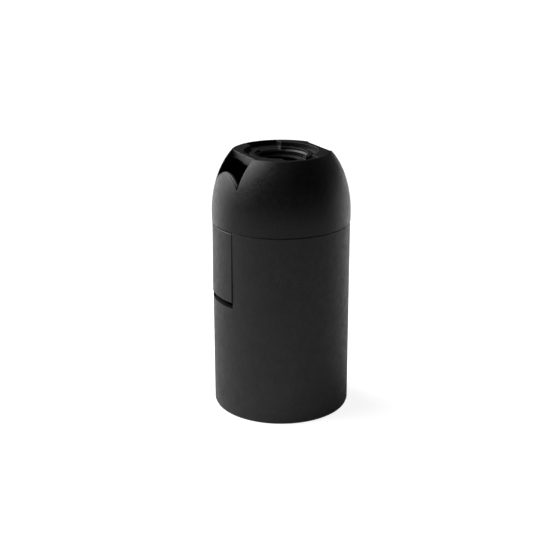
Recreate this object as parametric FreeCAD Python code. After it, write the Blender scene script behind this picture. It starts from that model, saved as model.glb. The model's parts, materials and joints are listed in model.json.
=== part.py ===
import FreeCAD, Part
import math
import os

# E14 lamp holder with a plain skirt and a latched domed cap, all sizes in millimetres.
# +Z is the axis, from the lamp's mouth up to the cable entry. The latch levers lie on +X and -X,
# the terminals on +Y and -Y. The origin is the middle of the mouth rim.

# Skirt
skirt_radius = 14.0
skirt_height = 39.3
skirt_wall = 1.4
mouth_rounding = 0.5
seam_edge = 0.12
ledge_depth = 1.2
ledge_height = 1.2

# Domed cap: a short upright flank, then two arcs up to the flat top
seam_gap = 0.08
cap_proud = 0.08
cap_rise = 14.12
cap_wall = 1.35
flank_height = 1.8
crown_inset = 4.1
haunch_inset_share = 0.31
haunch_rise_share = 0.6
crown_edge = 0.12
hollow_cones = 3
top_thickness = 1.5
recess_margin = 2.45
recess_depth = 1.0
channel_half_width = 3.45
rim_wall = 0.45
pad_depth = 0.5
pad_margin = 0.75
collar_inset = 0.3
collar_wall = 0.9
collar_height = 0.45
collar_gap_half = 2.4
spigot_length = 1.7
spigot_wall = 0.8
spigot_clearance = 0.1

# Cable entry, M10 x 1
entry_radius = 5.0
entry_wall = 2.0
entry_length = 7.0
entry_chamfer = 0.3

# Slots in the cap, each with the shelf that a hook rests on
slot_inset = 1.91
slot_width = 3.77
slot_half_width = 4.85
shelf_rise = 6.62
shelf_height = 1.4
shelf_lead = 0.6
catch = 0.62

# Latch levers
panel_half_width = 4.42
panel_side_gap = 0.13
panel_length = 14.42
panel_foot_gap = 1.3
panel_top_gap = 0.26
panel_proud = 0.05
panel_splay = 0.12
panel_edge = 0.15
panel_thickness = 1.3
pivot_inset = 2.6
pivot_lift = 4.5
lever_web = 1.1
trunnion_radius = 0.7
trunnion_length = 1.0
stem_thickness = 1.1
hook_depth = 2.12
hook_plate = 0.6
hook_link = 1.2
hook_gap = 0.1
hook_seat = 0.05
hook_rise = 0.15
hook_edge = 0.2

# Core with the lamp's E14 thread
running_gap = 0.05
fit_gap = 0.1
floor_drop = 13.38
floor_thickness = 2.5
thread_crest_radius = 6.2
thread_start = 5.0
thread_lead = 0.8
tube_wall = 2.3
chamber_radius = 7.3
chamber_height = 6.0
ring_wall = 1.0
ring_height = 8.0
ear_thickness = 1.1
ear_reach = 1.3
ear_height = 1.5
groove_half_width = 1.9
groove_depth = 1.7
groove_length = 13.0

# Contact blades
blade_thickness = 0.4
blade_half_width = 1.5
rivet_radius = 0.8
rivet_head_radius = 1.3
rivet_head = 0.4
tip_start = 0.8
tip_offset = 1.5
tip_drop = 2.6
tip_curl = 0.1
bulge_gap = 0.1
bulge_drop = 9.0
bulge_slope = 3.2
bulge_flat = 0.8
side_blade_gap = 0.7
side_blade_length = 11.0

# Terminals, one on each side
strip_thickness = 0.5
strip_half_width = 2.0
block_inset = 2.3
block_length = 5.0
block_half_width = 2.5
block_height = 6.5
block_edge = 0.25
wire_hole_radius = 1.1
wire_hole_height = 2.2
screw_radius = 1.5
screw_inset = 2.4
screw_head_radius = 2.2
screw_head_height = 1.7
screw_slot_width = 0.6
screw_slot_depth = 0.8
screw_lift = 0.6

# Radii and heights that follow from the sizes above
skirt_bore = skirt_radius - skirt_wall
core_radius = skirt_bore - fit_gap
cap_base = skirt_height + seam_gap
cap_height = cap_base + cap_rise
cap_radius = skirt_radius + cap_proud
cap_bore = cap_radius - cap_wall
flank_top = cap_base + flank_height
crown_radius = cap_radius - crown_inset
join_radius = cap_radius - crown_inset * haunch_inset_share
join_height = flank_top + (cap_height - flank_top) * haunch_rise_share
top_underside = cap_height - top_thickness
recess_radius = entry_radius + recess_margin
recess_floor = cap_height - recess_depth
entry_end = recess_floor - entry_length
entry_hub_radius = entry_radius + entry_wall
slot_outer = cap_radius - slot_inset
slot_inner = slot_outer - slot_width
shelf_top = cap_base + shelf_rise
hook_outer = slot_outer - hook_gap
stem_inner = hook_outer - hook_depth
shelf_inner = hook_outer - catch
panel_radius = skirt_radius + panel_proud
panel_inner = panel_radius - panel_thickness
panel_top = cap_base - panel_top_gap
panel_foot = panel_top - panel_length
notch_half_width = panel_half_width + panel_side_gap
notch_foot = panel_foot - panel_foot_gap
pivot_x = skirt_bore - pivot_inset
trunnion_end = panel_half_width + trunnion_length
ear_outer = notch_half_width + ear_thickness
floor_bottom = cap_base - floor_drop
floor_top = floor_bottom + floor_thickness
pivot_z = floor_top + pivot_lift
tube_radius = thread_crest_radius + tube_wall
thread_end = floor_bottom - chamber_height
groove_outer = thread_crest_radius + groove_depth
strip_top = floor_top + strip_thickness
block_top = strip_top + block_height
block_outer = skirt_bore - block_inset
block_inner = block_outer - block_length
screw_offset = block_outer - screw_inset
blade_root_half = rivet_head_radius + fit_gap
side_blade_wall = groove_outer - side_blade_gap - blade_thickness
rivet_offset = min(block_inner, side_blade_wall) - blade_root_half

UP = FreeCAD.Vector(0, 0, 1)
AXIS = FreeCAD.Vector(0, 0, 0)


def vec(x, y, z):
    return FreeCAD.Vector(x, y, z)


def cylinder(radius, low, high, x=0.0, y=0.0):
    return Part.makeCylinder(radius, high - low, vec(x, y, low), UP)


def box(x_range, y_range, z_range):
    size = [high - low for low, high in (x_range, y_range, z_range)]
    return Part.makeBox(size[0], size[1], size[2], vec(x_range[0], y_range[0], z_range[0]))


def line(start, end):
    return Part.LineSegment(start, end).toShape()


def polygon_face(points):
    return Part.Face(Part.makePolygon(points + [points[0]]))


def revolve(points):
    """A closed outline of (radius, height) corners, turned about the axis."""
    outline = polygon_face([vec(radius, 0, height) for radius, height in points])
    return outline.revolve(AXIS, UP, 360)


def mirrored_in_x(shape):
    return shape.mirror(AXIS, vec(1, 0, 0))


def both_sides(shape):
    return [shape, mirrored_in_x(shape)]


def crown_arcs():
    """The dome's two tangent arcs, each as its centre's radius and height, and its own radius."""
    fall = cap_radius - join_radius
    climb = join_height - flank_top
    lower = (fall ** 2 + climb ** 2) / (2 * fall)
    out = (lower - fall) / lower
    up = climb / lower
    across = crown_radius - join_radius
    rise = cap_height - join_height
    upper = -(across ** 2 + rise ** 2) / (2 * (across * out + rise * up))
    return (cap_radius - lower, flank_top, lower), (join_radius - upper * out, join_height - upper * up, upper)


def cap_outline(height, inset=0.0):
    """The radius of the cap's outer surface at a height, or of the surface a wall further in."""
    lower, upper = crown_arcs()
    join = flank_top + (join_height - flank_top) * (1 - inset / lower[2])
    centre, level, radius = lower if height < join else upper
    return centre + math.sqrt((radius - inset) ** 2 - max(height - level, 0) ** 2)


def cap_height_at(x, y):
    """The height of the cap's outer surface above a point in plan."""
    lower, upper = crown_arcs()
    reach = math.hypot(x, y)
    centre, level, radius = upper if reach < join_radius else lower
    return level + math.sqrt(radius ** 2 - (reach - centre) ** 2)


def outline_arc(low, high):
    """One arc of the cap's outline, between two heights."""
    points = [vec(cap_outline(height), 0, height) for height in (low, (low + high) / 2, high)]
    return Part.Arc(points[0], points[1], points[2]).toShape()


def cap_body():
    rim_radius = crown_radius + crown_edge / 2
    rim_height = cap_height_at(rim_radius, 0)
    edges = [
        line(vec(0, 0, cap_base), vec(cap_radius, 0, cap_base)),
        line(vec(cap_radius, 0, cap_base), vec(cap_radius, 0, flank_top)),
        outline_arc(flank_top, join_height),
        outline_arc(join_height, rim_height),
        line(vec(rim_radius, 0, rim_height), vec(crown_radius - crown_edge, 0, cap_height)),
        line(vec(crown_radius - crown_edge, 0, cap_height), vec(0, 0, cap_height)),
        line(vec(0, 0, cap_height), vec(0, 0, cap_base)),
    ]
    return Part.Face(Part.Wire(edges)).revolve(AXIS, UP, 360)


def cap_hollow():
    """The hollow under the dome, a stack of cones whose edges lie one wall inside it."""
    corners = [(0, cap_base)]
    corners.append((cap_bore, cap_base))
    for step in range(hollow_cones + 1):
        height = flank_top + (top_underside - flank_top) * step / hollow_cones
        corners.append((cap_outline(height, cap_wall), height))
    corners.append((0, top_underside))
    return revolve(corners)


def cap_shelf(body):
    """The ledge inside one wall, under the slot, with a lead for the hook below it."""
    lead = shelf_inner + shelf_lead
    shelf_foot = shelf_top - shelf_height
    profile = polygon_face([
        vec(shelf_inner, -slot_half_width, shelf_top),
        vec(cap_radius, -slot_half_width, shelf_top),
        vec(cap_radius, -slot_half_width, shelf_foot),
        vec(lead, -slot_half_width, shelf_foot),
        vec(shelf_inner, -slot_half_width, shelf_foot + shelf_lead),
    ])
    return profile.extrude(vec(0, 2 * slot_half_width, 0)).common(body)


def cap_spigot():
    """Two arcs that step down into the skirt beside the terminals."""
    outer = skirt_bore - spigot_clearance
    ring = cylinder(outer, cap_base - spigot_length, cap_base)
    ring = ring.fuse(cylinder(cap_bore + spigot_clearance, cap_base, cap_base + spigot_wall))
    ring = ring.cut(cylinder(outer - spigot_wall, cap_base - spigot_length, cap_base + spigot_wall))
    side_cut = ear_outer + fit_gap
    reach = cap_radius
    return ring.cut(box((-reach, reach), (-side_cut, side_cut), (0, cap_height)))


def top_pocket():
    """The sunk round the entry and the channel across it, which ends inside the rim."""
    across = (-crown_radius, crown_radius)
    channel = box((-channel_half_width, channel_half_width), across, (recess_floor, cap_height))
    channel = channel.common(cylinder(crown_radius - rim_wall, recess_floor, cap_height))
    return cylinder(recess_radius, recess_floor, cap_height).fuse(channel)


def top_pad():
    """The thickening under the pocket, so that its floor isn't thin."""
    across = (-crown_radius, crown_radius)
    half = channel_half_width + pad_margin
    low = top_underside - pad_depth
    bar = box((-half, half), across, (low, top_underside)).common(cylinder(crown_radius, low, top_underside))
    return cylinder(recess_radius + pad_margin, low, top_underside).fuse(bar)


def entry_collar():
    """Two low arcs that stand round the entry on the pocket's floor."""
    inner = entry_radius + collar_inset
    outer = inner + collar_wall
    low = recess_floor
    high = recess_floor + collar_height
    ring = cylinder(outer, low, high).cut(cylinder(inner, low, high))
    gap = box((-collar_gap_half, collar_gap_half), (-outer, outer), (low, high))
    return ring.cut(gap).Solids


def make_cap():
    body = cap_body()
    cap = body.cut(cap_hollow())
    hub = cylinder(entry_hub_radius, entry_end, top_underside)
    cap = cap.fuse([hub, top_pad(), cap_spigot()] + both_sides(cap_shelf(body)))
    bore = cylinder(entry_radius, entry_end, cap_height)
    lead_in = revolve([
        (0, recess_floor - entry_chamfer),
        (entry_radius, recess_floor - entry_chamfer),
        (entry_radius + entry_chamfer, recess_floor),
        (0, recess_floor),
    ])
    width = (-slot_half_width, slot_half_width)
    slot = box((slot_inner, slot_outer), width, (shelf_top, cap_height))
    return cap.cut([bore, lead_in, top_pocket()] + both_sides(slot)).fuse(entry_collar())


def make_skirt():
    middle = mouth_rounding * (1 - math.sqrt(0.5))
    skirt = revolve([
        (skirt_bore, 0),
        (skirt_radius - mouth_rounding, 0),
        (skirt_radius - middle, middle),
        (skirt_radius, mouth_rounding),
        (skirt_radius, skirt_height - seam_edge),
        (skirt_radius - seam_edge, skirt_height),
        (skirt_bore, skirt_height),
    ])
    in_wall = skirt_bore + skirt_wall / 2
    ledge = revolve([
        (skirt_bore - ledge_depth, floor_bottom),
        (in_wall, floor_bottom),
        (in_wall, floor_bottom - ledge_height - ledge_depth),
        (skirt_bore, floor_bottom - ledge_height - ledge_depth),
        (skirt_bore - ledge_depth, floor_bottom - ledge_height),
    ])
    width = (-notch_half_width, notch_half_width)
    notch = box((pivot_x, skirt_radius + skirt_wall), width, (notch_foot, skirt_height))
    return skirt.fuse(ledge).cut(both_sides(notch))


def lever_panel():
    """The curved outer plate, a little splayed at its foot, with its edges lightly broken."""
    foot_radius = panel_radius + panel_splay
    plate = revolve([
        (panel_inner, panel_foot),
        (foot_radius - panel_edge, panel_foot),
        (foot_radius, panel_foot + panel_edge),
        (panel_radius, panel_top - panel_edge),
        (panel_radius - panel_edge, panel_top),
        (panel_inner, panel_top),
    ])
    width = (-panel_half_width, panel_half_width)
    return plate.common(box((0, skirt_radius + skirt_wall), width, (panel_foot, panel_top)))


def hook_arch(x, drop):
    """The hook's arched outline at one x: it follows the cap's wall at the slot."""
    side = panel_half_width - running_gap
    side_height = cap_height_at(slot_outer, side) + hook_rise - drop
    crest_height = cap_height_at(slot_outer, 0) + hook_rise - drop
    seat = shelf_top + hook_seat
    crest = vec(x, 0, crest_height)
    arch = Part.Arc(vec(x, -side, side_height), crest, vec(x, side, side_height))
    return Part.Wire([
        line(vec(x, -side, seat), vec(x, -side, side_height)),
        arch.toShape(),
        line(vec(x, side, side_height), vec(x, side, seat)),
        line(vec(x, side, seat), vec(x, -side, seat)),
    ])


def lever_hook():
    """The hook: an upright plate with a narrow slope at its outer edge, on a low link to the stem."""
    plate_outer = hook_outer - hook_edge
    plate_inner = hook_outer - hook_plate
    plate = Part.Face(hook_arch(plate_inner, 0)).extrude(vec(plate_outer - plate_inner, 0, 0))
    slope = Part.makeLoft([hook_arch(plate_outer, 0), hook_arch(hook_outer, hook_edge)], True, True)
    side = panel_half_width - running_gap
    seat = shelf_top + hook_seat
    link = box((stem_inner, plate_outer), (-side, side), (seat, seat + hook_link))
    return plate.fuse([slope, link])


def make_lever():
    """The lever on +X: panel, two webs, stem, hook and trunnions."""
    side = panel_half_width
    middle_radius = panel_radius - panel_thickness / 2
    width = (-side, side)
    knuckle = box((stem_inner, middle_radius), width, (pivot_z - lever_web, pivot_z + lever_web))
    top_web = box((stem_inner, middle_radius), width, (panel_top - lever_web, panel_top))
    webs = knuckle.fuse(top_web).common(cylinder(middle_radius, 0, cap_height))
    stem = box(
        (stem_inner, stem_inner + stem_thickness),
        (-side + running_gap, side - running_gap),
        (pivot_z - lever_web, shelf_top + hook_seat),
    )
    start = vec(pivot_x, -trunnion_end, pivot_z)
    trunnion = Part.makeCylinder(trunnion_radius, 2 * trunnion_end, start, vec(0, 1, 0))
    return lever_panel().fuse([webs, stem, lever_hook(), trunnion]).removeSplitter()


def bent_strip(points, width_low, width_high, thickness):
    """A strip bent along (y, z) corners, with its thickness to the left of the path."""
    offsets = []
    count = len(points)
    for index in range(count):
        before = points[max(index - 1, 0)]
        here = points[index]
        after = points[min(index + 1, count - 1)]
        first = unit(here[0] - before[0], here[1] - before[1])
        second = unit(after[0] - here[0], after[1] - here[1])
        if index == 0:
            first = second
        if index == count - 1:
            second = first
        normal = unit(-first[1] - second[1], first[0] + second[0])
        cosine = normal[0] * -first[1] + normal[1] * first[0]
        offsets.append((here[0] + normal[0] * thickness / cosine, here[1] + normal[1] * thickness / cosine))
    outline = points + offsets[::-1]
    face = polygon_face([vec(width_low, y, z) for y, z in outline])
    return face.extrude(vec(width_high - width_low, 0, 0))


def unit(a, b):
    length = math.hypot(a, b)
    if length == 0:
        return (0.0, 0.0)
    return (a / length, b / length)


def rivet_hole(side):
    return cylinder(rivet_radius, floor_bottom - blade_thickness, strip_top, 0, side * rivet_offset)


def make_centre_contact():
    """The blade under the floor: riveted root, spring arm, and a curled tip on the axis."""
    root = floor_bottom - blade_thickness
    low = root - tip_drop
    path = [
        (-tip_offset, low + blade_thickness + tip_curl),
        (-tip_start, low),
        (tip_start, low),
        (rivet_offset - blade_root_half, root),
        (rivet_offset + blade_root_half, root),
    ]
    blade = bent_strip(path, -blade_half_width, blade_half_width, blade_thickness)
    return blade.cut(rivet_hole(1))


def make_side_contact():
    """The blade in the thread's groove: riveted root, and a bulge that meets the lamp's shell."""
    wall = -side_blade_wall
    bulge = -thread_crest_radius - bulge_gap
    middle = floor_bottom - bulge_drop
    path = [
        (wall, floor_bottom - side_blade_length),
        (bulge, middle - bulge_flat),
        (bulge, middle + bulge_flat),
        (wall, middle + bulge_flat + bulge_slope),
        (wall, floor_bottom - blade_thickness),
        (blade_root_half - rivet_offset, floor_bottom - blade_thickness),
    ]
    blade = bent_strip(path, -blade_half_width, blade_half_width, blade_thickness)
    return blade.cut(rivet_hole(-1))


def make_rivet(side):
    """A rivet through blade, floor and strip, with a flat head at each end."""
    y = side * rivet_offset
    blade_low = floor_bottom - blade_thickness
    shank = cylinder(rivet_radius, blade_low, strip_top, 0, y)
    lower_head = cylinder(rivet_head_radius, blade_low - rivet_head, blade_low, 0, y)
    upper_head = cylinder(rivet_head_radius, strip_top, strip_top + rivet_head, 0, y)
    return shank.fuse([lower_head, upper_head])


def make_strip(side):
    """The flat strip on the floor that joins the rivet to the terminal."""
    inner = rivet_offset - rivet_head_radius - fit_gap
    low, high = sorted((side * inner, side * block_outer))
    strip = box((-strip_half_width, strip_half_width), (low, high), (floor_top, strip_top))
    return strip.cut(rivet_hole(side))


def make_block(side):
    """The terminal block: a wire hole that faces the axis, crossed by the screw's hole."""
    low, high = sorted((side * block_inner, side * block_outer))
    block = box((-block_half_width, block_half_width), (low, high), (strip_top, block_top))
    upright = [edge for edge in block.Edges if abs(edge.tangentAt(0).z) > 0.9]
    block = block.makeChamfer(block_edge, upright)
    start = vec(0, side * block_inner, strip_top + wire_hole_height)
    wire_hole = Part.makeCylinder(wire_hole_radius, block_length, start, vec(0, side, 0))
    screw_hole = cylinder(screw_radius, strip_top + wire_hole_height, block_top, 0, side * screw_offset)
    return block.cut([wire_hole, screw_hole])


def make_screw(side):
    """The terminal screw, backed off by its lift, with a slotted cheese head."""
    y = side * screw_offset
    head_low = block_top + screw_lift
    head_high = head_low + screw_head_height
    tip = strip_top + wire_hole_height + wire_hole_radius + screw_lift
    shank = cylinder(screw_radius - running_gap, tip, head_low, 0, y)
    head = cylinder(screw_head_radius, head_low, head_high, 0, y)
    half_slot = screw_slot_width / 2
    across = (-screw_head_radius, screw_head_radius)
    slot = box(across, (y - half_slot, y + half_slot), (head_high - screw_slot_depth, head_high))
    return shank.fuse(head).cut(slot)


def core_tube():
    """The tube that takes the lamp, with a wider chamber for the contacts above the thread."""
    return revolve([
        (thread_crest_radius + thread_lead, thread_start),
        (tube_radius, thread_start),
        (tube_radius, floor_bottom),
        (chamber_radius, floor_bottom),
        (chamber_radius, thread_end),
        (thread_crest_radius, thread_end),
        (thread_crest_radius, thread_start + thread_lead),
    ])


def core_ring():
    """The low wall round the terminals: two arcs on the floor, clear of the levers' ears."""
    ring = cylinder(core_radius, floor_top, floor_top + ring_height)
    ring = ring.cut(cylinder(core_radius - ring_wall, floor_top, floor_top + ring_height))
    across = (-core_radius, core_radius)
    return ring.cut(box(across, (-ear_outer, ear_outer), (floor_top, floor_top + ring_height)))


def core_ears():
    """Four ears on the floor that carry the levers' trunnions."""
    top = pivot_z + trunnion_radius + ear_height
    envelope = cylinder(core_radius, floor_bottom, top)
    reach = (pivot_x - trunnion_radius - ear_reach, core_radius)
    ears = []
    for width in ((notch_half_width, ear_outer), (-ear_outer, -notch_half_width)):
        ear = box(reach, width, (floor_top, top)).common(envelope)
        ears.extend(both_sides(ear))
    return ears


def make_core():
    """The insulating core: thread tube, floor, lever ears and the wall round the terminals."""
    floor = cylinder(core_radius, floor_bottom, floor_top)
    core = core_tube().fuse([floor, core_ring()] + core_ears())
    start = vec(pivot_x, -ear_outer, pivot_z)
    bearing = Part.makeCylinder(trunnion_radius + running_gap, 2 * ear_outer, start, vec(0, 1, 0))
    groove = box(
        (-groove_half_width, groove_half_width),
        (-groove_outer, thread_lead - thread_crest_radius),
        (floor_bottom - groove_length, floor_bottom),
    )
    return core.cut(both_sides(bearing) + [groove, rivet_hole(1), rivet_hole(-1)])


def main():
    os.makedirs("parts", exist_ok=True)
    lever = make_lever()
    parts = {
        "dome_cap": make_cap(),
        "outer_skirt": make_skirt(),
        "contact_core": make_core(),
        "latch_lever_right": lever,
        "latch_lever_left": mirrored_in_x(lever),
        "centre_contact": make_centre_contact(),
        "side_contact": make_side_contact(),
    }
    for name, side in (("live", 1), ("neutral", -1)):
        parts[name + "_rivet"] = make_rivet(side)
        parts[name + "_strip"] = make_strip(side)
        parts[name + "_terminal"] = make_block(side)
        parts[name + "_screw"] = make_screw(side)
    for name, shape in parts.items():
        solids = shape.Solids
        print(name, len(solids), round(shape.Volume, 2), shape.isValid())
        shape = solids[0] if len(solids) == 1 else shape
        shape.exportStep(os.path.join("parts", name + ".step"))


main()
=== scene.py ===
import json
import math

import bpy
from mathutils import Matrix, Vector


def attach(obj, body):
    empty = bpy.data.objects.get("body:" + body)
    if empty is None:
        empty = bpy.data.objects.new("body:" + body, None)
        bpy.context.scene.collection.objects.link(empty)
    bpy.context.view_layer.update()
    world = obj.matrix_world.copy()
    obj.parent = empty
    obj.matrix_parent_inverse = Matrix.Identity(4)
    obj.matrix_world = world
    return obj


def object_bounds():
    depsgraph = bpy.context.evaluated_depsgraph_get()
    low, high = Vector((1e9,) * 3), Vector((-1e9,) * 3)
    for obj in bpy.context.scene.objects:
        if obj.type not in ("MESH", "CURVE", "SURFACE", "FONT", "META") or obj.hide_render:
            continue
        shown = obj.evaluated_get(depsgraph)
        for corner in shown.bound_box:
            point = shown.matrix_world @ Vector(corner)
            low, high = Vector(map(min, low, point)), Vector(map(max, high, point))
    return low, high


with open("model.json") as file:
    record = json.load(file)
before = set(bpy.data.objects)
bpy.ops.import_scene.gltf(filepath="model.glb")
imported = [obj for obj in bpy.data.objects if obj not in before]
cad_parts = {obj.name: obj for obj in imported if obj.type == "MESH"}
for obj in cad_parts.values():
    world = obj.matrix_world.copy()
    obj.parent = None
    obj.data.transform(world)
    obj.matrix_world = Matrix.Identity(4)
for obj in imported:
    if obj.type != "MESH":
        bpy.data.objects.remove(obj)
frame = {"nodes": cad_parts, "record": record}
cad_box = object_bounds()

# Camera: metres and radians, apart from its azimuth in degrees and its focal length in pixels
camera_azimuth = -27.8
camera_distance = 0.220
camera_height = 0.1035
camera_pitch = 0.3124
camera_turn = 0.0025
camera_focal = 1128.0
camera_shift = -0.05
camera_near = 0.005
picture_size = 557
sensor_width = 36.0

# Softboxes: side and distance in metres, and each one's degrees round from the camera, degrees up and watts
lamp_side = 0.8
lamp_distance = 0.8
high_left_lamp = (-100, 45, 7.6)
back_left_lamp = (-128, 28, 3.7)
right_lamp = (120, 8, 0.2)

# Floor: its side in metres, and its colour, lighter near the part as a painted pool of light, its glow to
# the camera and its glow in reflections, each from near to far over a span of metres, counted outwards and,
# for reflections, backwards
floor_side = 6.0
floor_painted_light = (0.66, 0.3)
floor_painted_light_span = (0.03, 0.2)
floor_glow = (0.88, 1.0)
floor_glow_span = (0.15, 0.5)
floor_gloss = (0.11, 1.0)
floor_gloss_span = (0.01, 0.12)

# Surround: its strength on matt surfaces, and in reflections from low to overhead
surround_matt = 0.05
surround_gloss = (0.03, 0.01)
surround_gloss_span = (0.1, 0.5)
white = (1, 1, 1, 1)

# Noises: scale per metre, detail and roughness, and the middle of the range that they fill
patch_noise = (260, 4, 0.6)
gloss_noise = (900, 5, 0.65)
wave_noise = (420, 2, 0.5)
grain_noise = (5000, 3, 0.5)
tarnish_noise = (300, 5, 0.5)
wear_noise = (1500, 4, 0.5)
scratch_noise = (5000, 2, 0.5)
noise_middle = (0.35, 0.65)

# Mouldings: the rounding of their edges and the depth of their slow waviness, in metres
edge_radius = 0.00015
edge_samples = 6
wave_depth = 0.00002

# Colours: darkest and lightest
cap_colours = ((0.008, 0.008, 0.0085), (0.011, 0.011, 0.0115))
body_colours = ((0.011, 0.011, 0.0115), (0.015, 0.015, 0.0155))
core_colours = ((0.012, 0.012, 0.012), (0.018, 0.018, 0.018))
# the entry thread's colours are darker than the cap's: painted shade for the inside of the bore
entry_painted_shade_colours = ((0.006, 0.006, 0.006), (0.008, 0.008, 0.008))
spring_colours = ((0.62, 0.45, 0.2), (0.76, 0.6, 0.32))
rivet_colours = ((0.6, 0.44, 0.2), (0.74, 0.57, 0.3))
terminal_colours = ((0.6, 0.46, 0.22), (0.76, 0.61, 0.34))
screw_colours = ((0.5, 0.5, 0.5), (0.64, 0.64, 0.65))

# A Mix node's sockets for colours
mix_low = 6
mix_high = 7
mix_result = 2

# Entry thread, M10 x 1, in metres: the ridge's foot is sunk into the bore, and its ends fade out
entry_pitch = 0.001
entry_depth = 0.00054
entry_foot = 0.00088
entry_crest = 0.00012
ridge_steps = 72
ridge_fade_turns = 0.125
ridge_sunk_share = 0.05


def link(thing):
    bpy.context.scene.collection.objects.link(thing)
    return thing


def around(azimuth, elevation=0.0):
    """The unit vector towards an azimuth, measured as the camera's is, and an elevation, in degrees."""
    turn = math.radians(azimuth)
    rise = math.radians(elevation)
    return Vector((math.sin(turn) * math.cos(rise), -math.cos(turn) * math.cos(rise), math.sin(rise)))


def make_camera():
    data = bpy.data.cameras.new("photo_camera")
    data.sensor_width = sensor_width
    data.lens = camera_focal * sensor_width / picture_size
    data.shift_y = camera_shift
    data.clip_start = camera_near
    camera = link(bpy.data.objects.new("photo_camera", data))
    camera.location = around(camera_azimuth) * camera_distance
    camera.location.z = camera_height
    camera.rotation_euler = (math.pi / 2 - camera_pitch, 0, math.radians(camera_azimuth) + camera_turn)
    bpy.context.scene.camera = camera


def map_range(tree, value, source, target, interpolation="LINEAR"):
    """A value taken from one range to another, and held at its ends."""
    node = tree.nodes.new("ShaderNodeMapRange")
    node.interpolation_type = interpolation
    for name, number in zip(("From Min", "From Max", "To Min", "To Max"), source + target):
        node.inputs[name].default_value = number
    tree.links.new(value, node.inputs["Value"])
    return node.outputs["Result"]


def math_node(tree, operation, *values):
    """A Math node on outputs or plain numbers, and its own output."""
    node = tree.nodes.new("ShaderNodeMath")
    node.operation = operation
    for socket, value in zip(node.inputs, values):
        if isinstance(value, float):
            socket.default_value = value
        else:
            tree.links.new(value, socket)
    return node.outputs[0]


class Nodes:
    """A material's node tree, with short calls to add nodes and links."""

    def __init__(self, name):
        self.material = bpy.data.materials.new(name)
        self.material.use_nodes = True
        self.tree = self.material.node_tree
        self.shader = self.tree.nodes["Principled BSDF"]
        self.place = self.tree.nodes.new("ShaderNodeTexCoord").outputs["Object"]

    def noise(self, scale, detail, roughness):
        node = self.tree.nodes.new("ShaderNodeTexNoise")
        node.inputs["Scale"].default_value = scale
        node.inputs["Detail"].default_value = detail
        node.inputs["Roughness"].default_value = roughness
        self.tree.links.new(self.place, node.inputs["Vector"])
        return node.outputs["Fac"]

    def spread(self, noise, limits):
        """A noise whose middle range is spread from one limit to the other."""
        return map_range(self.tree, self.noise(*noise), noise_middle, limits)

    def blend(self, value, colours):
        """A colour between two others, by a value."""
        node = self.tree.nodes.new("ShaderNodeMix")
        node.data_type = "RGBA"
        node.inputs[mix_low].default_value = colours[0] + (1,)
        node.inputs[mix_high].default_value = colours[1] + (1,)
        self.tree.links.new(value, node.inputs["Factor"])
        return node.outputs[mix_result]

    def bump(self, value, depth, before=None):
        node = self.tree.nodes.new("ShaderNodeBump")
        node.inputs["Strength"].default_value = 1
        node.inputs["Distance"].default_value = depth
        self.tree.links.new(value, node.inputs["Height"])
        if before is not None:
            self.tree.links.new(before, node.inputs["Normal"])
        return node.outputs["Normal"]

    def soft_edges(self):
        """A normal that rounds the edges of a moulding, so that they catch the light."""
        node = self.tree.nodes.new("ShaderNodeBevel")
        node.samples = edge_samples
        node.inputs["Radius"].default_value = edge_radius
        return node.outputs["Normal"]

    def feed(self, output, name):
        self.tree.links.new(output, self.shader.inputs[name])


def plastic(name, colours, roughness, specular, grain):
    """Moulded thermoplastic: a fine spark-eroded grain, and a gloss that wanders a little."""
    nodes = Nodes(name)
    nodes.feed(nodes.blend(nodes.spread(patch_noise, (0, 1)), colours), "Base Color")
    nodes.feed(nodes.spread(gloss_noise, roughness), "Roughness")
    nodes.shader.inputs["Specular IOR Level"].default_value = specular
    waves = nodes.bump(nodes.noise(*wave_noise), wave_depth, nodes.soft_edges())
    nodes.feed(nodes.bump(nodes.noise(*grain_noise), grain, waves), "Normal")
    return nodes.material


def metal(name, colours, roughness, grain):
    """Rolled or plated metal: faint tarnish, and a gloss broken up by fine scratches."""
    nodes = Nodes(name)
    nodes.feed(nodes.blend(nodes.spread(tarnish_noise, (0, 1)), colours), "Base Color")
    nodes.shader.inputs["Metallic"].default_value = 1
    nodes.feed(nodes.spread(wear_noise, roughness), "Roughness")
    nodes.feed(nodes.bump(nodes.noise(*scratch_noise), grain), "Normal")
    return nodes.material


def dress(material, *names):
    for name in names:
        mesh = frame["nodes"][name].data
        mesh.materials.clear()
        mesh.materials.append(material)


def dress_plastics():
    cap_finish = plastic("cap_finish", cap_colours, roughness=(0.32, 0.44), specular=0.42, grain=0.00004)
    dress(cap_finish, "dome_cap")
    skirt_finish = plastic("skirt_finish", body_colours, roughness=(0.42, 0.55), specular=0.5, grain=0.00003)
    dress(skirt_finish, "outer_skirt")
    lever_finish = plastic("lever_finish", body_colours, roughness=(0.42, 0.55), specular=0.5, grain=0.00003)
    dress(lever_finish, "latch_lever_left", "latch_lever_right")
    core_finish = plastic("core_finish", core_colours, roughness=(0.5, 0.65), specular=0.5, grain=0.00004)
    dress(core_finish, "contact_core")


def dress_metals():
    spring_finish = metal("spring_finish", spring_colours, roughness=(0.24, 0.38), grain=0.000002)
    dress(spring_finish, "centre_contact", "side_contact")
    rivet_finish = metal("rivet_finish", rivet_colours, roughness=(0.26, 0.42), grain=0.000002)
    dress(rivet_finish, "live_rivet", "neutral_rivet")
    terminal_finish = metal("terminal_finish", terminal_colours, roughness=(0.3, 0.46), grain=0.000003)
    dress(terminal_finish, "live_strip", "neutral_strip", "live_terminal", "neutral_terminal")
    screw_finish = metal("screw_finish", screw_colours, roughness=(0.24, 0.4), grain=0.000002)
    dress(screw_finish, "live_screw", "neutral_screw")


def mount(name):
    """A mount's place, radius and length, in metres."""
    row = next(row for row in frame["record"]["mounts"] if row["name"] == name)
    return Vector(row["pos_m"]), row["dims"]["r_mm"] / 1000, row["dims"]["length_mm"] / 1000


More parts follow.
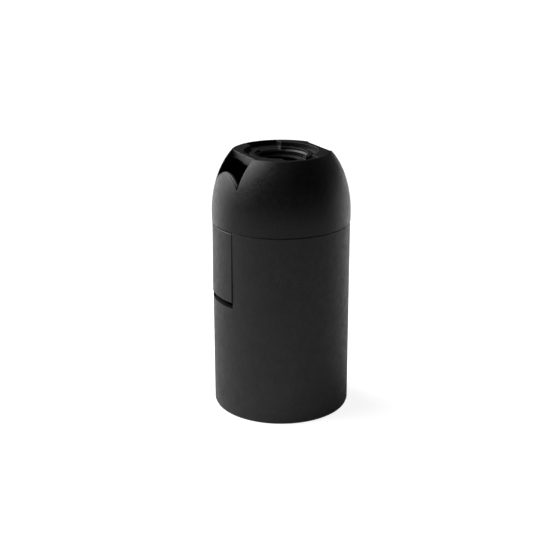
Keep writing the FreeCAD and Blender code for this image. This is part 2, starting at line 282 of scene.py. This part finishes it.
def helical_ridge(name, radius, low, high, pitch, foot, crest, depth):
    """A thread's ridge inside a bore, from low to high, which fades out at both ends."""
    half_foot = foot / 2
    half_crest = crest / 2
    steps = round((high - low - foot) / pitch * ridge_steps)
    fade = ridge_steps * ridge_fade_turns
    foot_radius = radius + depth * ridge_sunk_share
    points = []
    for step in range(steps + 1):
        share = min(1, step / fade, (steps - step) / fade)
        crest_radius = radius - depth * share
        angle = 2 * math.pi * step / ridge_steps
        height = low + half_foot + pitch * step / ridge_steps
        lower = [(foot_radius, -half_foot), (crest_radius, -half_crest)]
        for r, z in lower + [(r, -z) for r, z in lower[::-1]]:
            points.append((r * math.cos(angle), r * math.sin(angle), height + z))
    faces = [(0, 1, 2, 3), tuple(4 * steps + corner for corner in (3, 2, 1, 0))]
    for step in range(steps):
        for corner in range(4):
            here = 4 * step + corner
            beside = 4 * step + (corner + 1) % 4
            faces.append((here, here + 4, beside + 4, beside))
    mesh = bpy.data.meshes.new(name)
    mesh.from_pydata(points, [], faces)
    return link(bpy.data.objects.new(name, mesh))


def make_entry_thread():
    place, radius, length = mount("cable_entry")
    low = place.z - length / 2
    ridge = helical_ridge(
        "entry_thread", radius, low, low + length, entry_pitch, entry_foot, entry_crest, entry_depth,
    )
    # the ridges are coloured darker than the cap they are moulded in: painted shade inside the bore, with a
    # rougher, less shiny finish
    finish_and_painted_shade = plastic("entry_finish_and_painted_shade", entry_painted_shade_colours, roughness=(0.6, 0.75), specular=0.25, grain=0.00003)
    ridge.data.materials.append(finish_and_painted_shade)
    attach(ridge, "holder")


def make_floor():
    """Pale paper: near white to the camera, and in reflections bright behind the part and dim before it; its
    colour is lighter near the part, a painted pool of light.
    """
    material = bpy.data.materials.new("paper")
    material.use_nodes = True
    tree = material.node_tree
    shader = tree.nodes["Principled BSDF"]
    shader.inputs["Roughness"].default_value = 1
    shader.inputs["Specular IOR Level"].default_value = 0
    shader.inputs["Emission Color"].default_value = white
    place = tree.nodes.new("ShaderNodeTexCoord").outputs["Object"]
    reach = tree.nodes.new("ShaderNodeVectorMath")
    reach.operation = "LENGTH"
    tree.links.new(place, reach.inputs[0])
    behind = tree.nodes.new("ShaderNodeVectorMath")
    behind.operation = "DOT_PRODUCT"
    behind.inputs[1].default_value = -around(camera_azimuth)
    tree.links.new(place, behind.inputs[0])
    # the floor's colour, lighter near the part and darker farther out: a painted pool of light
    painted_light = map_range(tree, reach.outputs["Value"], floor_painted_light_span, floor_painted_light, "SMOOTHSTEP")
    glow = map_range(tree, reach.outputs["Value"], floor_glow_span, floor_glow, "SMOOTHSTEP")
    gloss = map_range(tree, behind.outputs["Value"], floor_gloss_span, floor_gloss, "SMOOTHSTEP")
    path = tree.nodes.new("ShaderNodeLightPath").outputs
    seen = math_node(tree, "MAXIMUM", path["Is Camera Ray"], path["Is Transmission Ray"])
    mirrored = math_node(tree, "MULTIPLY", path["Is Glossy Ray"], gloss)
    strength = math_node(tree, "MAXIMUM", math_node(tree, "MULTIPLY", seen, glow), mirrored)
    tree.links.new(painted_light, shader.inputs["Base Color"])
    tree.links.new(strength, shader.inputs["Emission Strength"])
    half = floor_side / 2
    mesh = bpy.data.meshes.new("floor")
    corners = [(-half, -half, 0), (half, -half, 0), (half, half, 0), (-half, half, 0)]
    mesh.from_pydata(corners, [], [(0, 1, 2, 3)])
    mesh.materials.append(material)
    link(bpy.data.objects.new("floor", mesh))


def make_surround():
    """White to the camera and through glass, and dim in reflections, most of all overhead."""
    world = bpy.data.worlds.new("studio")
    bpy.context.scene.world = world
    world.use_nodes = True
    tree = world.node_tree
    split = tree.nodes.new("ShaderNodeSeparateXYZ")
    tree.links.new(tree.nodes.new("ShaderNodeTexCoord").outputs["Generated"], split.inputs[0])
    overhead = map_range(tree, split.outputs["Z"], surround_gloss_span, surround_gloss)
    path = tree.nodes.new("ShaderNodeLightPath").outputs
    seen = math_node(tree, "MAXIMUM", path["Is Camera Ray"], path["Is Transmission Ray"])
    mirrored = math_node(tree, "MULTIPLY", path["Is Glossy Ray"], overhead)
    lit = math_node(tree, "MULTIPLY", path["Is Diffuse Ray"], surround_matt)
    strength = math_node(tree, "MAXIMUM", seen, math_node(tree, "MAXIMUM", mirrored, lit))
    tree.links.new(strength, tree.nodes["Background"].inputs["Strength"])
    tree.nodes["Background"].inputs["Color"].default_value = white


def soft_lamp(name, azimuth, elevation, watts):
    data = bpy.data.lights.new(name, "AREA")
    data.shape = "RECTANGLE"
    data.size = lamp_side
    data.size_y = lamp_side
    data.energy = watts
    lamp = link(bpy.data.objects.new(name, data))
    offset = around(camera_azimuth + azimuth, elevation)
    lamp.location = Vector((0, 0, cad_box[1].z / 2)) + offset * lamp_distance
    lamp.rotation_euler = offset.to_track_quat("Z", "Y").to_euler()


make_camera()
make_floor()
make_surround()
soft_lamp("high_left_softbox", *high_left_lamp)
soft_lamp("back_left_softbox", *back_left_lamp)
soft_lamp("right_fill", *right_lamp)
dress_plastics()
dress_metals()
make_entry_thread()

bpy.context.scene.view_settings.view_transform = "Standard"
